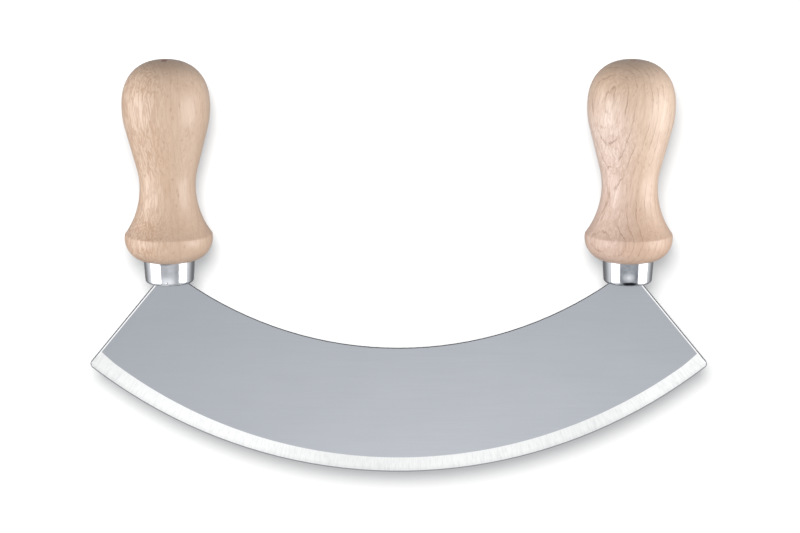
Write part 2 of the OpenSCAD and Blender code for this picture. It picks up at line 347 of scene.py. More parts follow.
def beech(name, colours, turn, lean, shift, line_depth, seam_depth, hole_shade, tan, sapwood_and_sheen):
    """Steamed and waxed beech, satin and warm. Depths, hole shade, tan and pale side are shares."""
    material, tree, shader = new_material(name)
    own = in_millimetres(tree)
    at = add(tree, "ShaderNodeSeparateXYZ", {"Vector": own})
    turned_by = (0.0, math.radians(lean), math.radians(turn))
    grain = add(
        tree, "ShaderNodeMapping", {"Vector": own, "Location": shift, "Rotation": turned_by}
    )
    kinks = sized_noise(tree, grain, RING_KINKS, 2.0)
    crooked = kinked(tree, grain, kinks)
    lines = growth_lines(tree, grain, kinks, line_depth)
    fibres = sized_noise(tree, crooked, FIBRES, 3.0)
    bundles = sized_noise(tree, grain, BUNDLES, 2.0)
    threads = add(tree, "ShaderNodeMath", {0: fibres, 1: bundles}, operation="ADD")
    facing = add(tree, "ShaderNodeNewGeometry")
    upward = add(tree, "ShaderNodeSeparateXYZ", {"Vector": facing.outputs["Normal"]})
    steep = add(tree, "ShaderNodeMath", {0: upward.outputs["Z"]}, operation="ABSOLUTE")

    # Each share follows a value: from, to, and the share at either end. The last is roughness.
    rough_side, pale_height, darker_foot, thread_share, end_grain_and_shade, polish = (
        add(
            tree,
            "ShaderNodeMapRange",
            {"Value": value, "From Min": low, "From Max": high, "To Min": least, "To Max": most},
        )
        for value, low, high, least, most in (
            (at.outputs["X"], SMOOTH_SIDE, ROUGH_SIDE, 0.1, 1.0),
            (at.outputs["Z"], SAP_TOP, SAP_FULL, 0.0, sapwood_and_sheen),
            (at.outputs["Z"], DARK_FOOT_TOP, DARK_FOOT_FULL, 0.0, tan),
            (threads, 0.8, 1.2, 0.0, 0.46),
            (steep, 0.45, 1.0, 0.0, 0.25),
            (fibres, 0.3, 0.7, 0.36, 0.5),
        )
    )
    # A brown spot of painted shade just in front of the lathe-centre hole.
    hole_shade_place = (0.0, -HOLE_SHADE_FORWARD, HANDLE_HEIGHT)
    mark = soft_spot(tree, own, hole_shade_place, HOLE_SHADE_STRETCH, HOLE_SHADE_CORE, HOLE_SHADE_R)
    rough_seams = add(
        tree, "ShaderNodeMath", {0: seam_lines(tree, crooked), 1: rough_side}, operation="MULTIPLY"
    )
    pale_side_and_sheen, seams, rays, hole_shade_share = (
        add(tree, "ShaderNodeMath", {0: share, 1: strength}, operation="MULTIPLY")
        for share, strength in (
            (rough_side, pale_height),
            (rough_seams, seam_depth),
            (ray_flecks(tree, grain), RAY_STRENGTH),
            (mark, hole_shade),
        )
    )
    pale, darker = colours
    colour = painted(
        tree,
        pale,
        (sized_noise(tree, grain, CLOUDS, 2.0), darker),
        # Pale side: partly sapwood, partly a painted sheen where the left softbox lights the handle.
        (pale_side_and_sheen, "FCE6DC"),
        (thread_share, "C4A388"),
        (seams, "B08A6C"),
        (rays, "A88468"),
        (lines, "9C765A"),
        # End grain's own darker colour, which also carries painted shade on the crown.
        (end_grain_and_shade, "A09080"),
        # Darker toward the foot.
        (darker_foot, "B98E70"),
        # Painted shade of the lathe-centre hole.
        (hole_shade_share, "8A4F3C"),
    )

    furrows = add(tree, "ShaderNodeMath", {0: seams, 1: lines}, operation="ADD")
    raised = add(tree, "ShaderNodeMath", {0: fibres, 1: furrows}, operation="SUBTRACT")
    relief = add(
        tree, "ShaderNodeBump", {"Height": raised, "Strength": 0.5, "Distance": FIBRE_RELIEF * MM}
    )
    feed(
        tree,
        shader,
        {
            "Base Color": colour,
            "Roughness": polish,
            "Normal": relief,
            "IOR": 1.5,
            "Coat Weight": WAX_COAT,
            "Coat Roughness": WAX_ROUGHNESS,
            "Coat Normal": relief,
        },
    )
    return material


left_beech = beech(
    "waxed_beech_straight",
    colours=("DCC4AD", "CFAF93"),
    turn=-20.0,
    lean=3.0,
    shift=(3.0, 0.0, 11.0),
    line_depth=0.3,
    seam_depth=0.8,
    hole_shade=0.9,
    tan=0.12,
    sapwood_and_sheen=0.0,
)
right_beech = beech(
    "waxed_beech_looped",
    colours=("E4CBB4", "D8BA9F"),
    turn=-40.0,
    lean=-8.0,
    shift=(17.1, 5.0, 40.0),
    line_depth=0.78,
    seam_depth=0.3,
    hole_shade=0.3,
    tan=0.42,
    sapwood_and_sheen=0.78,
)
print("two cuts of beech:", left_beech.name, "and", right_beech.name)

# %% [markdown]
# ## Turned handles
#
# The CAD handles have the right shape, but each is a stack of cones, and waxed wood shows the
# joints between cones as rings of light. A lathe leaves one smooth sweep, so each handle is turned
# again here: the same outline, drawn with finer steps, goes round its axis once. The crisp edge on
# top of the bead gets the tiny radius that sandpaper gives it. The tenon inside the ferrule, the
# bore and the lathe-centre hole belong to the same outline, so the piece is one closed solid.

# %% Arcs and a softened corner


def arc(centre, radius, start, end, steps):
    """Points of an arc, angles in degrees, both ends included."""
    turns = [math.radians(start + (end - start) * i / steps) for i in range(steps + 1)]
    return [(centre[0] + radius * math.cos(t), centre[1] + radius * math.sin(t)) for t in turns]


def softened(points, corner, radius, steps=5):
    """Replaces one corner of an outline by a small curve that starts and ends radius away."""
    index = min(range(len(points)), key=lambda i: math.dist(points[i], corner))
    before = [p for p in points[:index] if math.dist(p, corner) > radius]
    after = [p for p in points[index + 1 :] if math.dist(p, corner) > radius]
    a, b = Vector(before[-1]), Vector(after[0])
    middle = Vector(corner)
    start = middle + (a - middle).normalized() * radius
    end = middle + (b - middle).normalized() * radius
    bend = []
    for i in range(steps + 1):
        t = i / steps
        p = start * (1 - t) ** 2 + middle * 2 * t * (1 - t) + end * t**2
        bend.append(tuple(p))
    return before + bend + after


quarter = arc((0, 0), 1, 0, 90, 3)
print("a quarter circle in 3 steps:", [(round(x, 2), round(y, 2)) for x, y in quarter])

# %% [markdown]
# The outline is a chain of arcs, as a turner's template would be: the round bead, the hollow
# flare above its edge, the two arcs of the neck with a straight stretch between them, and the
# crown, which is a little fuller than an ellipse. From the waist up each part meets the next one
# without a corner, so the centres and angles follow from the sizes at the waist and the bulb.

# %% Handle outline
# All sizes are in mm. Only the softened edge and the steps differ from the CAD model.
BEAD_R, BEAD_RISE, BEAD_EDGE_RISE = 16.2, 8.3, 1.4  # the edge lies that far above the bead's middle
WAIST_R, WAIST_RISE = 10.25, 27.5
BULB_R, CROWN_HEIGHT, CROWN_FULLNESS = 16.05, 17.0, 2.33  # a fullness of 2 is an ellipse
NECK_STRAIGHTNESS, WAIST_SHARE = 0.68, 0.44
FERRULE_HEIGHT, FERRULE_TOP_R, FERRULE_BOTTOM_R, FERRULE_WALL = 8.5, 9.45, 8.95, 0.8
WOOD_STEP, FIT_GAP = 0.05, 0.05
BORE_R, BORE_TOP = 4.0, 37.5  # the bore ends this far above the foot of the wood
CENTRE_HOLE_R, CENTRE_HOLE_DEPTH = 1.25, 3.5
HOLE_LIP, CROWN_FLAT, CROWN_DIP = 0.12, 0.25, 0.02  # round the centre hole
EDGE_SOFTENING = 0.3  # how far sandpaper has rounded the edge of the bead
BEAD_STEPS, FLARE_STEPS, WAIST_STEPS, NECK_STEPS, SIDE_STEPS, CROWN_STEPS = 28, 26, 14, 8, 16, 46


def outside_line():
    """The visible outline in mm, its foot at height 0, up to the flat round the centre hole."""
    foot_r = FERRULE_TOP_R + WOOD_STEP
    bead_out = BEAD_R - foot_r
    bead = (BEAD_RISE**2 + bead_out**2) / (2 * bead_out)
    edge_r = BEAD_R - bead + math.sqrt(bead**2 - BEAD_EDGE_RISE**2)
    foot_angle = -math.degrees(math.acos((foot_r - BEAD_R + bead) / bead))
    edge_angle = math.degrees(math.asin(BEAD_EDGE_RISE / bead))
    flare_height = WAIST_RISE - BEAD_RISE - BEAD_EDGE_RISE
    flare_in = edge_r - WAIST_R
    flare = (flare_height**2 + flare_in**2) / (2 * flare_in)
    flare_angle = math.degrees(math.asin(flare_height / flare))
    bulb_rise = HANDLE_HEIGHT - CROWN_HEIGHT
    neck_height, neck_out = bulb_rise - WAIST_RISE, BULB_R - WAIST_R
    neck_angle = math.atan(neck_out / neck_height) * (2 - NECK_STRAIGHTNESS)
    both_arcs = (neck_height * math.sin(neck_angle) - neck_out * math.cos(neck_angle)) / (
        1 - math.cos(neck_angle)
    )
    neck_degrees = math.degrees(neck_angle)
    waist_arc, side_arc = both_arcs * WAIST_SHARE, both_arcs * (1 - WAIST_SHARE)
    waist_centre, side_centre = (WAIST_R + waist_arc, WAIST_RISE), (BULB_R - side_arc, bulb_rise)

    line = arc((BEAD_R - bead, BEAD_RISE), bead, foot_angle, edge_angle, BEAD_STEPS)
    edge = line[-1]
    line += arc((WAIST_R + flare, WAIST_RISE), flare, 180 + flare_angle, 180, FLARE_STEPS)[1:]
    line += arc(waist_centre, waist_arc, 180, 180 - neck_degrees, WAIST_STEPS)[1:]
    side = arc(side_centre, side_arc, -neck_degrees, 0, SIDE_STEPS)
    neck_low, neck_top = Vector(line[-1]), Vector(side[0])
    line += [tuple(neck_low.lerp(neck_top, i / NECK_STEPS)) for i in range(1, NECK_STEPS)]
    line += side
    power = 2 / CROWN_FULLNESS
    for i in range(1, CROWN_STEPS):
        t = math.radians(90 * i / CROWN_STEPS)
        r = BULB_R * math.cos(t) ** power
        if r > CENTRE_HOLE_R + CROWN_FLAT:
            line.append((r, bulb_rise + CROWN_HEIGHT * math.sin(t) ** power))
    return softened(line, edge, EDGE_SOFTENING)


def handle_outline():
    """The whole outline of one handle in mm, from the bore round to the centre hole."""
    tenon_depth = FERRULE_HEIGHT - FERRULE_WALL - FIT_GAP
    taper = (FERRULE_TOP_R - FERRULE_BOTTOM_R) / FERRULE_HEIGHT
    tenon_low_r = FERRULE_BOTTOM_R + taper * (FERRULE_WALL + FIT_GAP) - FERRULE_WALL - FIT_GAP
    tenon_top_r = FERRULE_TOP_R - FERRULE_WALL - FIT_GAP
    bore = [(0.0, BORE_TOP), (BORE_R, BORE_TOP), (BORE_R, -tenon_depth)]
    tenon = [(tenon_low_r, -tenon_depth), (tenon_top_r, 0.0)]
    centre_hole = [
        (CENTRE_HOLE_R + HOLE_LIP, HANDLE_HEIGHT - CROWN_DIP),
        (CENTRE_HOLE_R, HANDLE_HEIGHT - CROWN_DIP - HOLE_LIP),
        (CENTRE_HOLE_R, HANDLE_HEIGHT - CENTRE_HOLE_DEPTH),
        (0.0, HANDLE_HEIGHT - CENTRE_HOLE_DEPTH - CENTRE_HOLE_R),
    ]
    return bore + tenon + outside_line() + centre_hole


outline = handle_outline()
print("handle outline:", len(outline), "points, widest", round(max(r for r, _ in outline), 2), "mm")

# %% [markdown]
# A lathe is easy to imitate in mesh code: each point of the outline becomes a ring of vertices,
# neighbouring rings are joined by quads, and a point on the axis becomes a single vertex with a
# fan of three-sided faces. Blender's Screw modifier does the same, but the code keeps the count and
# the start of the rings in our hands. Shading is smooth, except across real edges.

# %% Turn the handles
SIDES = ("left", "right")
SHARP_ANGLE = math.radians(35)
RING_STEPS = 160


def turned(name, points, place):
    """A solid of revolution from an outline in mm, its axis standing at place, in metres."""
    mesh = bpy.data.meshes.new(name)
    body = bmesh.new()
    turns = [2 * math.pi * i / RING_STEPS for i in range(RING_STEPS)]
    rings = []
    for r, z in points:
        spots = [(r * MM * math.cos(t), r * MM * math.sin(t), z * MM) for t in turns]
        rings.append([body.verts.new(spot) for spot in (spots if r else [(0, 0, z * MM)])])
    for low, high in zip(rings, rings[1:]):
        for i in range(RING_STEPS):
            j = (i + 1) % RING_STEPS
            if len(low) == 1:
                body.faces.new((low[0], high[j], high[i]))
            elif len(high) == 1:
                body.faces.new((low[i], low[j], high[0]))
            else:
                body.faces.new((low[i], low[j], high[j], high[i]))
    bmesh.ops.recalc_face_normals(body, faces=body.faces)
    body.to_mesh(mesh)
    body.free()
    mesh.shade_smooth()
    mesh.set_sharp_from_angle(angle=SHARP_ANGLE)
    piece = bpy.data.objects.new(name, mesh)
    piece.location = place
    bpy.context.scene.collection.objects.link(piece)
    return piece


for side, wood in zip(SIDES, (left_beech, right_beech)):
    node = f"{side}_handle"
    low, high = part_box(node)
    foot = Vector(((low[0] + high[0]) / 2, (low[1] + high[1]) / 2, high[2] - HANDLE_HEIGHT * MM))
    handle = turned(f"{side}_turned_handle", outline, foot)
    handle.data.materials.append(wood)
    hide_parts(node)
    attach(handle, "root")
    faces = len(handle.data.polygons)
    print(handle.name, "axis at x =", round(foot.x / MM, 2), "mm,", faces, "faces")

# %% [markdown]
# ## The blade: where the finishes lie
#
# The blade is one stamping of cold-rolled stainless steel. Its faces keep the even satin of the
# rolled sheet. The bevel was ground afterwards across the edge, and the honed line at the very
# edge is greyer. Polished chamfers line the two straight ends. All of it is one piece of steel and
# one CAD node, so one material tells the finishes apart by place: how far a point lies from the
# centre of the edge's arc, and how its face is tilted.
#
# The wheel ran wider toward the left tip, and at both tips it turned up where it left the steel.
# A darker line runs along the arris between each chamfer and the cut end. On the bevel, where
# the chamfer is gone, the arris is found by its distance from the end's line, and round the tip by
# that distance and the distance from the edge together.

# %% Places on the blade
# Sizes are in mm, and those of the steel itself are the same as in the CAD model.
EDGE_R, HALF_LENGTH, TIP_R = 181.5, 115.0, 2.0
BEVEL_WIDTH, HONE_WIDTH = 5.8, 0.45
CHAMFER_WIDTH, CHAMFER_DEPTH = 0.8, 0.3
END_SLOPE = math.radians(39.5)  # between the straight ends and the upright
ARRIS_DEPTH, ARRIS_WIDTH = 0.59, 0.36  # depth in the sheet, and width as seen from in front
BEVEL_FLARE, FLARE_POWER = 1.0, 3.0  # the bevel's extra width at the left tip, and how it grows
TURN_UP, TURN_UP_FROM, TURN_UP_TO = 0.7, 106.0, 113.5  # its extra width in the last few mm
LINE_BLUR = 0.02  # half the width of a crisp border between two finishes
FACE_BLUR, BEVEL_BLUR = 0.12, 0.06  # how far the softer border of the bevel reaches either way

TIP_X = HALF_LENGTH - TIP_R
TIP_Z = EDGE_R - math.sqrt((EDGE_R - TIP_R) ** 2 - TIP_X**2)
END_NORMAL = (math.cos(END_SLOPE), 0.0, math.sin(END_SLOPE))
END_OFFSET = TIP_X * END_NORMAL[0] + TIP_Z * END_NORMAL[2] + TIP_R  # from the origin to an end
# On the round of a tip both distances together fall short of the corner by about this much.
TIP_REACH = 2 * TIP_R * (1 - math.cos(math.radians(45))) + 1.4 * ARRIS_WIDTH


def borders(tree, at, folded, radius):
    """Shares that are 1 on the ground bevel, on the honed edge and on all the wheel touched."""
    ground, honed = (
        add(
            tree,
            "ShaderNodeMapRange",
            {
                "Value": radius,
                "From Min": EDGE_R - width - LINE_BLUR,
                "From Max": EDGE_R - width + LINE_BLUR,
            },
        )
        for width in (BEVEL_WIDTH, HONE_WIDTH)
    )
    leftward = add(
        tree,
        "ShaderNodeMapRange",
        {"Value": at.outputs["X"], "From Min": 0.0, "From Max": -HALF_LENGTH},
    )
    widening = add(tree, "ShaderNodeMath", {0: leftward, 1: FLARE_POWER}, operation="POWER")
    turn_up = add(
        tree,
        "ShaderNodeMapRange",
        {
            "Value": folded.outputs["X"],
            "From Min": TURN_UP_FROM,
            "From Max": TURN_UP_TO,
            "To Max": TURN_UP,
        },
    )
    flare = add(
        tree, "ShaderNodeMath", {0: widening, 1: BEVEL_FLARE, 2: turn_up}, operation="MULTIPLY_ADD"
    )
    reach = add(tree, "ShaderNodeMath", {0: radius, 1: flare}, operation="ADD")
    wheeled = add(
        tree,
        "ShaderNodeMapRange",
        {
            "Value": reach,
            "From Min": EDGE_R - BEVEL_WIDTH - FACE_BLUR,
            "From Max": EDGE_R - BEVEL_WIDTH + BEVEL_BLUR,
        },
    )
    return ground, honed, wheeled


def darker_arris(tree, folded_place, folded, radius, ground, chamfered):
    """A share that is 1 on the darker arris beside the chamfers, along the bevel and at the tips."""
    outward = add(
        tree, "ShaderNodeVectorMath", {0: folded_place, 1: END_NORMAL}, operation="DOT_PRODUCT"
    ).outputs["Value"]
    out_and_down = add(tree, "ShaderNodeMath", {0: outward, 1: radius}, operation="ADD")
    near_end, near_tip = (
        add(tree, "ShaderNodeMath", {0: value, 1: limit}, operation="GREATER_THAN")
        for value, limit in (
            (outward, END_OFFSET - ARRIS_WIDTH),
            (out_and_down, END_OFFSET + EDGE_R - TIP_REACH),
        )
    )
    deep = add(
        tree, "ShaderNodeMath", {0: folded.outputs["Y"], 1: ARRIS_DEPTH}, operation="LESS_THAN"
    )
    tip_or_end = add(tree, "ShaderNodeMath", {0: near_end, 1: near_tip}, operation="MAXIMUM")
    on_bevel, on_chamfer = (
        add(tree, "ShaderNodeMath", {0: place, 1: finish}, operation="MULTIPLY")
        for place, finish in ((tip_or_end, ground), (deep, chamfered))
    )
    return add(tree, "ShaderNodeMath", {0: on_chamfer, 1: on_bevel}, operation="MAXIMUM")


print("a straight end lies", round(END_OFFSET, 2), "mm from the origin")

# %% [markdown]
# ## The blade: the tones of its finishes
#
# The face is rolled sheet with a faint grain along its length. It mirrors a room that is brightest
# low in front, so it is palest over the middle of the edge, and its colour is painted palest there
# too, as a painted reflection. The bevel carries fine scratches that run straight at the edge: noise
# drawn out along each spoke of the arc, short round the arc and long across the bevel. Its near-white
# colour is partly its ground finish and partly a painted reflection, a painted sheen brightens and
# dulls it along the arc, and toward the honed edge the bevel dulls a little.

# %% Tones of the face and the bevel
ROLLING = (25.0, 1.0, 0.35)  # mm, the grain of the rolled sheet
REFLECTION_CLOUDS = (22.0, 22.0, 22.0)  # mm, soft clouds that shift the edge of the painted reflection
SCRATCHES = (0.45, 25 / 3, 1 / 3)  # mm round the arc, several times coarser than real ones
PALE_MIDDLE, PALE_STRETCH = (-12.0, 0.0, 0.0), (1.0, 0.0, 1.8)  # mm, and how fast height counts
PALE_FULL, PALE_GONE, PALE_DRIFT = 35.0, 170.0, 40.0  # mm from there, drifting with the clouds
SHEEN_REACH = 0.69  # radians of the arc to either side, just past the tips
PAINTED_SHEEN_ALONG_ARC = (  # place along the arc from left to right, and how bright the painted sheen makes the bevel
    (0.0, 0.87),
    (0.06, 0.95),
    (0.12, 1.0),
    (0.29, 1.0),
    (0.42, 0.88),
    (0.58, 0.92),
    (0.66, 0.92),
    (0.80, 0.86),
    (0.90, 0.93),
    (1.0, 0.94),
)
DULL_WIDTH, DULLED = 2.4, 0.90  # mm from the edge in which the bevel dulls, and how far
GRAIN_STRENGTH, SCRATCH_STRENGTH = 0.07, 0.45


def face_tone(tree, millimetres, rolled):
    """The satin face's colour: a painted reflection, palest over the edge's middle, with a faint
    grain.
    """
    reflection_clouds = sized_noise(tree, millimetres, REFLECTION_CLOUDS, 2.0)
    shifted = add(
        tree,
        "ShaderNodeVectorMath",
        {0: millimetres, 1: PALE_STRETCH, 2: PALE_MIDDLE},
        operation="MULTIPLY_ADD",
    )
    distance = add(tree, "ShaderNodeVectorMath", {0: shifted}, operation="LENGTH")
    drifting = add(
        tree,
        "ShaderNodeMath",
        {0: reflection_clouds, 1: PALE_DRIFT, 2: distance.outputs["Value"]},
        operation="MULTIPLY_ADD",
    )
    outlying = add(
        tree,
        "ShaderNodeMapRange",
        {"Value": drifting, "From Min": PALE_FULL, "From Max": PALE_GONE},
    )
    grain = add(
        tree,
        "ShaderNodeMapRange",
        {"Value": rolled, "From Min": 0.3, "From Max": 0.7, "To Max": GRAIN_STRENGTH},
    )
    # Painted reflection: darker away from the middle of the edge, then the rolled grain.
    return painted(tree, "B9BDC2", (outlying, "A8ACB2"), (grain, "A0A4A9"))


def bevel_tone(tree, radius, angle, scratches):
    """The colour of the ground bevel: near white, scratched, with a painted sheen along the arc."""
    along = add(
        tree,
        "ShaderNodeMapRange",
        {"Value": angle, "From Min": -SHEEN_REACH, "From Max": SHEEN_REACH},
    )
    sheen_along_arc = add(tree, "ShaderNodeValToRGB", {"Fac": along})
    fill_ramp(sheen_along_arc, *PAINTED_SHEEN_ALONG_ARC)
    toward_edge = add(
        tree,
        "ShaderNodeMapRange",
        {
            "Value": radius,
            "From Min": EDGE_R - DULL_WIDTH,
            "From Max": EDGE_R - HONE_WIDTH,
            "To Min": 1.0,
            "To Max": DULLED,
        },
        interpolation_type="SMOOTHSTEP",
    )
    # The painted sheen along the arc, dulled toward the edge.
    sheen = add(tree, "ShaderNodeMath", {0: sheen_along_arc, 1: toward_edge}, operation="MULTIPLY")
    scratched = add(
        tree,
        "ShaderNodeMapRange",
        {"Value": scratches, "From Min": 0.45, "From Max": 0.8, "To Max": SCRATCH_STRENGTH},
    )
    # Near white: partly the ground finish, partly a painted reflection.
    bright = painted(tree, "FAFBFA", (scratched, "DADCDD"))
    return add(tree, "ShaderNodeVectorMath", {0: bright, "Scale": sheen}, operation="SCALE")


# How far the painted sheen differs along the arc:
sheens = [sheen for _, sheen in PAINTED_SHEEN_ALONG_ARC]
print("the wheel's sheen differs by", round(max(sheens) - min(sheens), 2))

# %% [markdown]
# ## The blade: one sheet of stainless steel
#
# Now the finishes are laid over each other: rolled face, ground bevel, polished chamfers, darker
# arrises, honed edge, and last a darker grey on all surfaces that stand square to the face, partly
# sheared steel and partly painted shade on the back edge that faces up. The chamfers' pure white is
# partly their polish and partly a painted highlight. The face is a satin mirror, and the scratches
# make the bevel a rougher one, while its colour is painted much brighter.

# %% Blade steel
SMOOTHEST, FACE_ROUGHEST, BEVEL_ROUGHEST = 0.30, 0.36, 0.42
GROOVE_DEPTH = 0.02  # mm, at a quarter of its strength
SQUARE_TO_FACE, TILT_MARGIN = 0.5, 0.02  # of the cosine that tells how a surface is tilted


def blade_steel():
    """Stainless steel sheet: satin rolled faces, a ground bevel painted bright and a grey honed edge.
    """
    material, tree, shader = new_material("stainless_sheet_ground_edge")
    millimetres = in_millimetres(tree)
    at = add(tree, "ShaderNodeSeparateXYZ", {"Vector": millimetres})
    folded_place = add(tree, "ShaderNodeVectorMath", {0: millimetres}, operation="ABSOLUTE")
    folded = add(tree, "ShaderNodeSeparateXYZ", {"Vector": folded_place})

    below = add(tree, "ShaderNodeMath", {0: EDGE_R, 1: at.outputs["Z"]}, operation="SUBTRACT")
    spoke = add(tree, "ShaderNodeCombineXYZ", {"X": at.outputs["X"], "Y": below})
    radius = add(tree, "ShaderNodeVectorMath", {0: spoke}, operation="LENGTH").outputs["Value"]
    angle = add(tree, "ShaderNodeMath", {0: at.outputs["X"], 1: below}, operation="ARCTAN2")
    round_arc = add(tree, "ShaderNodeMath", {0: angle, 1: EDGE_R}, operation="MULTIPLY")
    wheel = add(
        tree, "ShaderNodeCombineXYZ", {"X": round_arc, "Y": radius, "Z": at.outputs["Y"]}
    )
    scratches = sized_noise(tree, wheel, SCRATCHES, 3.0)
    rolled = sized_noise(tree, millimetres, ROLLING, 3.0)

    facing = add(tree, "ShaderNodeNewGeometry")
    tilt = add(tree, "ShaderNodeSeparateXYZ", {"Vector": facing.outputs["True Normal"]})
    flatness = add(tree, "ShaderNodeMath", {0: tilt.outputs["Y"]}, operation="ABSOLUTE")
    sheared_and_shaded = add(
        tree, "ShaderNodeMath", {0: flatness, 1: SQUARE_TO_FACE}, operation="LESS_THAN"
    )
    chamfer_tilt = math.cos(math.atan(CHAMFER_DEPTH / CHAMFER_WIDTH))
    chamfered = add(
        tree,
        "ShaderNodeMath",
        {0: flatness, 1: chamfer_tilt, 2: TILT_MARGIN},
        operation="COMPARE",
    )
    ground, honed, wheeled = borders(tree, at, folded, radius)

    colour = painted(
        tree,
        face_tone(tree, millimetres, rolled),
        (wheeled, bevel_tone(tree, radius, angle, scratches)),
        # Pure white on the chamfers: partly their polish, partly a painted highlight.
        (chamfered, "FFFFFF"),
        (darker_arris(tree, folded_place, folded, radius, ground, chamfered), "777A7F"),
        (honed, "999CA0"),
        # Surfaces square to the face: sheared steel, and painted shade on the back edge that faces up.
        (sheared_and_shaded, "76797E"),
    )
    face_polish, bevel_polish = (
        add(
            tree,
            "ShaderNodeMapRange",
            {
                "Value": grain,
                "From Min": 0.3,
                "From Max": 0.7,
                "To Min": SMOOTHEST,
                "To Max": roughest,
            },
        )
        for grain, roughest in ((rolled, FACE_ROUGHEST), (scratches, BEVEL_ROUGHEST))
    )
    bright_work = add(tree, "ShaderNodeMath", {0: ground, 1: chamfered}, operation="MAXIMUM")
    polish = add(
        tree,
        "ShaderNodeMix",
        {"Factor": bright_work, "A": face_polish, "B": bevel_polish},
        data_type="FLOAT",
    )
    grooves = add(tree, "ShaderNodeMath", {0: scratches, 1: ground}, operation="MULTIPLY")
    relief = add(
        tree, "ShaderNodeBump", {"Height": grooves, "Strength": 0.25, "Distance": GROOVE_DEPTH * MM}
    )
    feed(
        tree,
        shader,
        {
            "Metallic": 1.0,
            "Base Color": colour,
            "Roughness": polish.outputs["Result"],
            "Normal": relief,
        },
    )
    return material


def dress(node, material):
    """Gives every slot of a CAD node a new material."""
    for material_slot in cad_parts[node].material_slots:
        material_slot.material = material
    print(node, "wears", material.name)


dress("blade", blade_steel())

# %% [markdown]
# ## Ferrules
#
# A ferrule is a short drawn cup of steel that keeps the wood from splitting where the tang enters.
# It is polished on a wheel while it spins, so it mirrors the softboxes as upright bands, and the
# faint polishing lines run round it. Stretched noise round the axis, kept very low, blurs the
# mirror by just that much. Reflections and shade are painted on the fronts too: the left one has a
# painted darker reflection above, a painted bright reflection below and painted shade under the
# wood, and the right one a painted darker reflection all over, a painted bright reflection in it
# and a painted dark reflection along the lower rim. Each is a soft spot, broken up by a fine mottle.

# %% Ferrule steel
POLISHING = (6.0, 6.0, 0.12)  # mm, lines round the axis, coarser than real ones
MOTTLE = (1.6, 1.6, 1.6)  # mm
# Painted reflections and shade on each front: mm to the right of its middle and above its foot,
# stretch along X, Y and Z, inner and outer radius in mm, strength and colour. They are long along Y,
# as the front is round, and a strength above 1 is one that the mottle hardly breaks up.
FERRULE_PAINTED_LIGHT = {
    "left": (
        # Painted darker reflection above.
        (0.0, 6.2, (1.6, 4.0, 1.0), 1.7, 3.9, 0.8, "96989C"),
        # Painted bright reflection below.
        (-0.4, 1.1, (1.3, 4.0, 1.0), 0.6, 2.8, 0.95, "D4D6D9"),
        # Painted shade under the wood.
        (-0.7, 8.9, (2.6, 4.0, 0.6), 0.9, 1.7, 1.0, "55575B"),
    ),
    "right": (
        # Painted darker reflection all over.
        (-0.3, 4.2, (1.0, 4.0, 4.0), 3.1, 4.0, 1.0, "7C8086"),
        # Painted bright reflection.
        (-0.6, 3.4, (1.6, 4.0, 1.1), 0.1, 1.8, 0.85, "CDD0D3"),
        # Painted dark reflection along the lower rim.
        (0.0, 1.0, (3.4, 5.0, 0.7), 0.6, 1.0, 1.3, "1E2023"),
    ),
}


def polished_steel():
    """Wheel-polished steel: a near mirror, faint lines round the axis, painted reflections and shade.
    """
    material, tree, shader = new_material("polished_drawn_steel")
    millimetres = in_millimetres(tree)
    lines = sized_noise(tree, millimetres, POLISHING, 2.0)
    patches, polish = (
        add(
            tree,
            "ShaderNodeMapRange",
            {"Value": value, "From Min": low, "From Max": high, "To Min": least, "To Max": most},
        )
        for value, low, high, least, most in (
            (sized_noise(tree, millimetres, MOTTLE, 2.0), 0.35, 0.65, 0.7, 1.0),
            (lines, 0.3, 0.7, 0.07, 0.15),
        )
    )
    colour = painted(tree, "B4B6BA", (lines, "AAADB1"))
    for side, marks in FERRULE_PAINTED_LIGHT.items():
        low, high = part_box(f"{side}_ferrule")
        middle, foot = (low[0] + high[0]) / 2 / MM, low[2] / MM
        for across, up, stretch, inner, outer, strength, shade in marks:
            centre = (middle + across, -FERRULE_TOP_R, foot + up)
            share = soft_spot(tree, millimetres, centre, stretch, inner, outer)
            for factor in (strength, patches):
                share = add(tree, "ShaderNodeMath", {0: share, 1: factor}, operation="MULTIPLY")
            # Each spot is a painted reflection or painted shade on the front.
            colour = painted(tree, colour, (share, shade))
    feed(tree, shader, {"Metallic": 1.0, "Base Color": colour, "Roughness": polish})
    return material


ferrule_steel = polished_steel()
for side in SIDES:
    dress(f"{side}_ferrule", ferrule_steel)

# %% [markdown]
# ## Resin round the tangs
#
# Inside each handle the flat tang stands in a round bore, and set resin fills what is left. Nobody
# sees it unless the tool is cut open, but it is part of the object, so it gets the look of an
# amber epoxy: slightly cloudy, glossy, with fine dust in it.

# %% Resin
DUST = (2.5, 2.5, 2.5)  # mm, clouds of wood dust


def bedding_resin():
    """Set epoxy with wood dust: amber brown, cloudy and smooth."""
    material, tree, shader = new_material("set_epoxy_resin")
    clouds = sized_noise(tree, in_millimetres(tree), DUST, 4.0)
    colour = painted(tree, "8C6B45", (clouds, "A98558"))
    feed(tree, shader, {"Base Color": colour, "Roughness": 0.35, "IOR": 1.55})
    return material


resin = bedding_resin()
for side in SIDES:
    dress(f"{side}_tang_bedding", resin)

# %% [markdown]
# ## The white table
#
# The tool was laid on a white table and photographed from above it, so the table stands upright
# behind it here, touching the backs of the handles. It is a single plane that only the camera
# sees: it takes the soft shadow, but throws no light on the steel. Seen from behind it is clear,
# so that it never hides the tool. A white laminate lit by a lamp is a matte surface, and the
# photographer exposed it until it was pure white. The same is done here with a faint glow that is
# added to a neutral grey matte. The glow is weak near the tool, where the shadow has to show, and
# rises away from it, where the lamp's own light thins out.

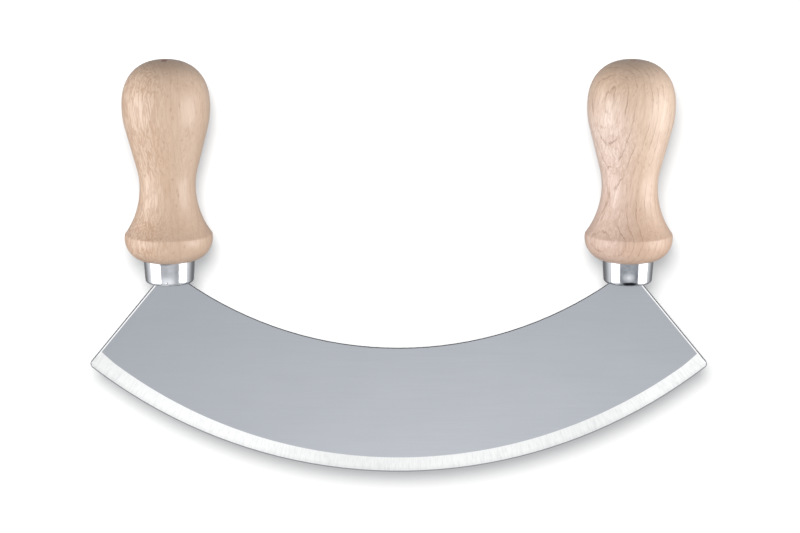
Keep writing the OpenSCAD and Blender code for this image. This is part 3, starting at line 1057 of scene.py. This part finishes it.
# %% Table
TABLE_Y = 16.4 * MM
TABLE_HALF = 4.0  # metres
TABLE_MIDDLE = (0.0, TABLE_Y, 0.08)
SHADOW_REACH = 0.19  # metres round the tool where its shadow may fall
GLOW_IN_REACH, GLOW_OUTSIDE = 0.36, 0.95


def white_table():
    """White laminate in front, clear from behind; part glow, so that the open surface is white."""
    material, tree, _ = new_material("white_laminate_one_sided")
    tree.nodes.clear()
    matte = add(tree, "ShaderNodeBsdfDiffuse", {"Color": linear("949392")})
    place = add(tree, "ShaderNodeTexCoord")
    offset = add(
        tree,
        "ShaderNodeVectorMath",
        {0: place.outputs["Object"], 1: TABLE_MIDDLE},
        operation="DISTANCE",
    )
    strength = add(
        tree,
        "ShaderNodeMapRange",
        {
            "Value": offset.outputs["Value"],
            "From Min": SHADOW_REACH,
            "From Max": 2 * SHADOW_REACH,
            "To Min": GLOW_IN_REACH,
            "To Max": GLOW_OUTSIDE,
        },
    )
    glow = add(tree, "ShaderNodeEmission", {"Color": linear("F7FBFD"), "Strength": strength})
    front = add(tree, "ShaderNodeAddShader", {0: matte, 1: glow})
    clear = add(tree, "ShaderNodeBsdfTransparent")
    facing = add(tree, "ShaderNodeNewGeometry")
    either = add(
        tree, "ShaderNodeMixShader", {0: facing.outputs["Backfacing"], 1: front, 2: clear}
    )
    add(tree, "ShaderNodeOutputMaterial", {"Surface": either})
    return material


table_signs = ((-1, -1), (1, -1), (1, 1), (-1, 1))
corners = [(x * TABLE_HALF, TABLE_Y, z * TABLE_HALF) for x, z in table_signs]
table_mesh = bpy.data.meshes.new("table")
table_mesh.from_pydata(corners, [], [(0, 1, 2, 3)])
table = bpy.data.objects.new("table", table_mesh)
table.data.materials.append(white_table())
bpy.context.scene.collection.objects.link(table)
table.visible_diffuse = False
table.visible_glossy = False
table.visible_transmission = False
table.visible_shadow = False
table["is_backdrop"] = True
faces_toward = table_mesh.polygons[0].normal[:]
print("table", round(TABLE_Y / MM, 1), "mm behind the blade, faces", faces_toward)

# %% [markdown]
# ## The room
#
# Polished steel shows what stands round it, so the room matters more than the lamps. Only the
# camera sees it as pure white. Wood sees a soft grey room that is paler in front than behind.
# Metal sees two parts. Straight in front is a tall narrow stretch with paler and darker bands,
# where the photographer stood between white cards: the blade's face and the middle of each
# ferrule mirror it. To both sides the walls are bright beside the tool and fall off toward the
# back, which gives the ferrules their dark outer edges. A ramp for each direction is enough: how
# high a ray points, how far back, and how far to the right.

# %% Room
FRONT_NARROW, FRONT_WIDE = math.radians(36), math.radians(42)  # half the front's width: full, gone
ROOM_BY_HEIGHT = ((0.0, 0.46, 0.47), (0.5, 0.60, 0.61), (1.0, 0.46, 0.48))
ROOM_BY_DEPTH = ((0.0, 1.25), (1.0, 0.6))
WALLS_BY_HEIGHT = ((0.0, 0.9), (0.50, 1.0), (0.56, 1.25), (0.75, 1.0), (1.0, 0.6, 0.62))
WALLS_BY_DEPTH = (
    (0.0, 1.0),
    (0.44, 1.0),
    (0.48, 2.0),
    (0.55, 1.65),
    (0.61, 1.36),
    (0.67, 1.12),
    (0.74, 0.80),
    (0.81, 0.50),
    (0.88, 0.32),
    (1.0, 0.28, 0.29),
)
COOL = 1.01  # how much bluer the bands in front are
FRONT_BANDS = (
    (0.20, 0.86),
    (0.24, 1.04),
    (0.28, 1.36),
    (0.34, 1.36),
    (0.43, 0.86),
    (0.52, 1.0),
    (0.57, 1.25),
)
FRONT_BY_HEIGHT = ((0.0, 0.9), *((p, v, COOL * v) for p, v in FRONT_BANDS), (1.0, 0.6, 0.62))
FRONT_BY_SIDE = (
    (0.0, 0.85),
    (0.25, 0.86),
    (0.32, 0.95),
    (0.42, 0.95),
    (0.57, 1.08),
    (0.70, 0.98),
    (0.80, 0.72),
    (1.0, 0.6),
)


def studio_room():
    """A pale room: white to the camera, soft to wood, and with bands and dark ends to metal."""
    world = bpy.data.worlds.new("pale_studio")
    world.use_nodes = True
    tree = world.node_tree
    tree.nodes.clear()
    ray = add(tree, "ShaderNodeTexCoord").outputs["Generated"]
    ray_parts = add(tree, "ShaderNodeSeparateXYZ", {"Vector": ray})
    level = add(tree, "ShaderNodeVectorMath", {0: ray, 1: (1.0, 1.0, 0.0)}, operation="MULTIPLY")
    heading = add(tree, "ShaderNodeVectorMath", {0: level}, operation="NORMALIZE")
    heading_parts = add(tree, "ShaderNodeSeparateXYZ", {"Vector": heading})
    height, depth, side = (
        add(tree, "ShaderNodeMapRange", {"Value": value, "From Min": -1.0, "From Max": 1.0})
        for value in (
            ray_parts.outputs["Z"],
            heading_parts.outputs["Y"],
            heading_parts.outputs["X"],
        )
    )
    shades = []
    for value, stops in (
        (height, ROOM_BY_HEIGHT),
        (depth, ROOM_BY_DEPTH),
        (height, WALLS_BY_HEIGHT),
        (depth, WALLS_BY_DEPTH),
        (height, FRONT_BY_HEIGHT),
        (side, FRONT_BY_SIDE),
    ):
        shades.append(add(tree, "ShaderNodeValToRGB", {"Fac": value}))
        fill_ramp(shades[-1], *stops)
    room, walls, front = (
        add(tree, "ShaderNodeVectorMath", {0: first, 1: second}, operation="MULTIPLY")
        for first, second in zip(shades[0::2], shades[1::2])
    )
    in_front = add(
        tree,
        "ShaderNodeMapRange",
        {
            "Value": heading_parts.outputs["Y"],
            "From Min": -math.cos(FRONT_NARROW),
            "From Max": -math.cos(FRONT_WIDE),
            "To Min": 1.0,
            "To Max": 0.0,
        },
        interpolation_type="SMOOTHSTEP",
    )
    path = add(tree, "ShaderNodeLightPath")
    seen = painted(
        tree,
        room,
        (path.outputs["Is Glossy Ray"], painted(tree, walls, (in_front, front))),
        (path.outputs["Is Camera Ray"], (1.0, 1.0, 1.0, 1.0)),
    )
    background = add(tree, "ShaderNodeBackground", {"Color": seen, "Strength": 1.0})
    add(tree, "ShaderNodeOutputWorld", {"Surface": background})
    return world


bpy.context.scene.world = studio_room()
bpy.context.scene.view_settings.view_transform = "Standard"
print("world:", bpy.context.scene.world.name)

# %% [markdown]
# ## Lamps
#
# Two softboxes stand left and right of the tool. They light the wood from the sides and show in
# the ferrules as two white bands with a grey gap between them. The blade is left out of their
# light, because it lies flat and mirrors only what stands in front. A third lamp, a round one
# close to the camera, a little to its left and above it, lights the table alone. It draws the soft
# shadow of the tool to the lower right. Light linking, a list of receivers for each lamp, does what
# the photographer does with black card.

# %% Lamps
TOOL_MIDDLE = Vector((0, 0, 0.09))
KEY_WAY = Vector((-0.07, -1.0, 0.46)).normalized()
beside_blade = [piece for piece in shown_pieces() if "blade" not in piece.name]
LAMPS = (  # name, shape, width, height, watts, subject, the way to it, distance, what it lights
    ("softbox_left", "RECTANGLE", 0.88, 0.68, 6.6, TOOL_MIDDLE, direction(-64, -5), 1.0, beside_blade),
    ("softbox_right", "RECTANGLE", 0.83, 0.68, 6.6, TOOL_MIDDLE, direction(71, -5), 1.0, beside_blade),
    ("table_key", "DISK", 0.38, 0.38, 20.5, AIM, KEY_WAY, 0.9, [table]),
)
for name, shape, width, height, watts, subject, way, distance, lit in LAMPS:
    lamp_data = bpy.data.lights.new(name, "AREA")
    lamp_data.shape = shape
    lamp_data.size, lamp_data.size_y = width, height
    lamp_data.energy = watts
    lamp = stand(name, lamp_data, subject, way, distance)
    receivers = bpy.data.collections.new(f"lit_by_{name}")
    for receiver in lit:
        receivers.objects.link(receiver)
    lamp.light_linking.receiver_collection = receivers
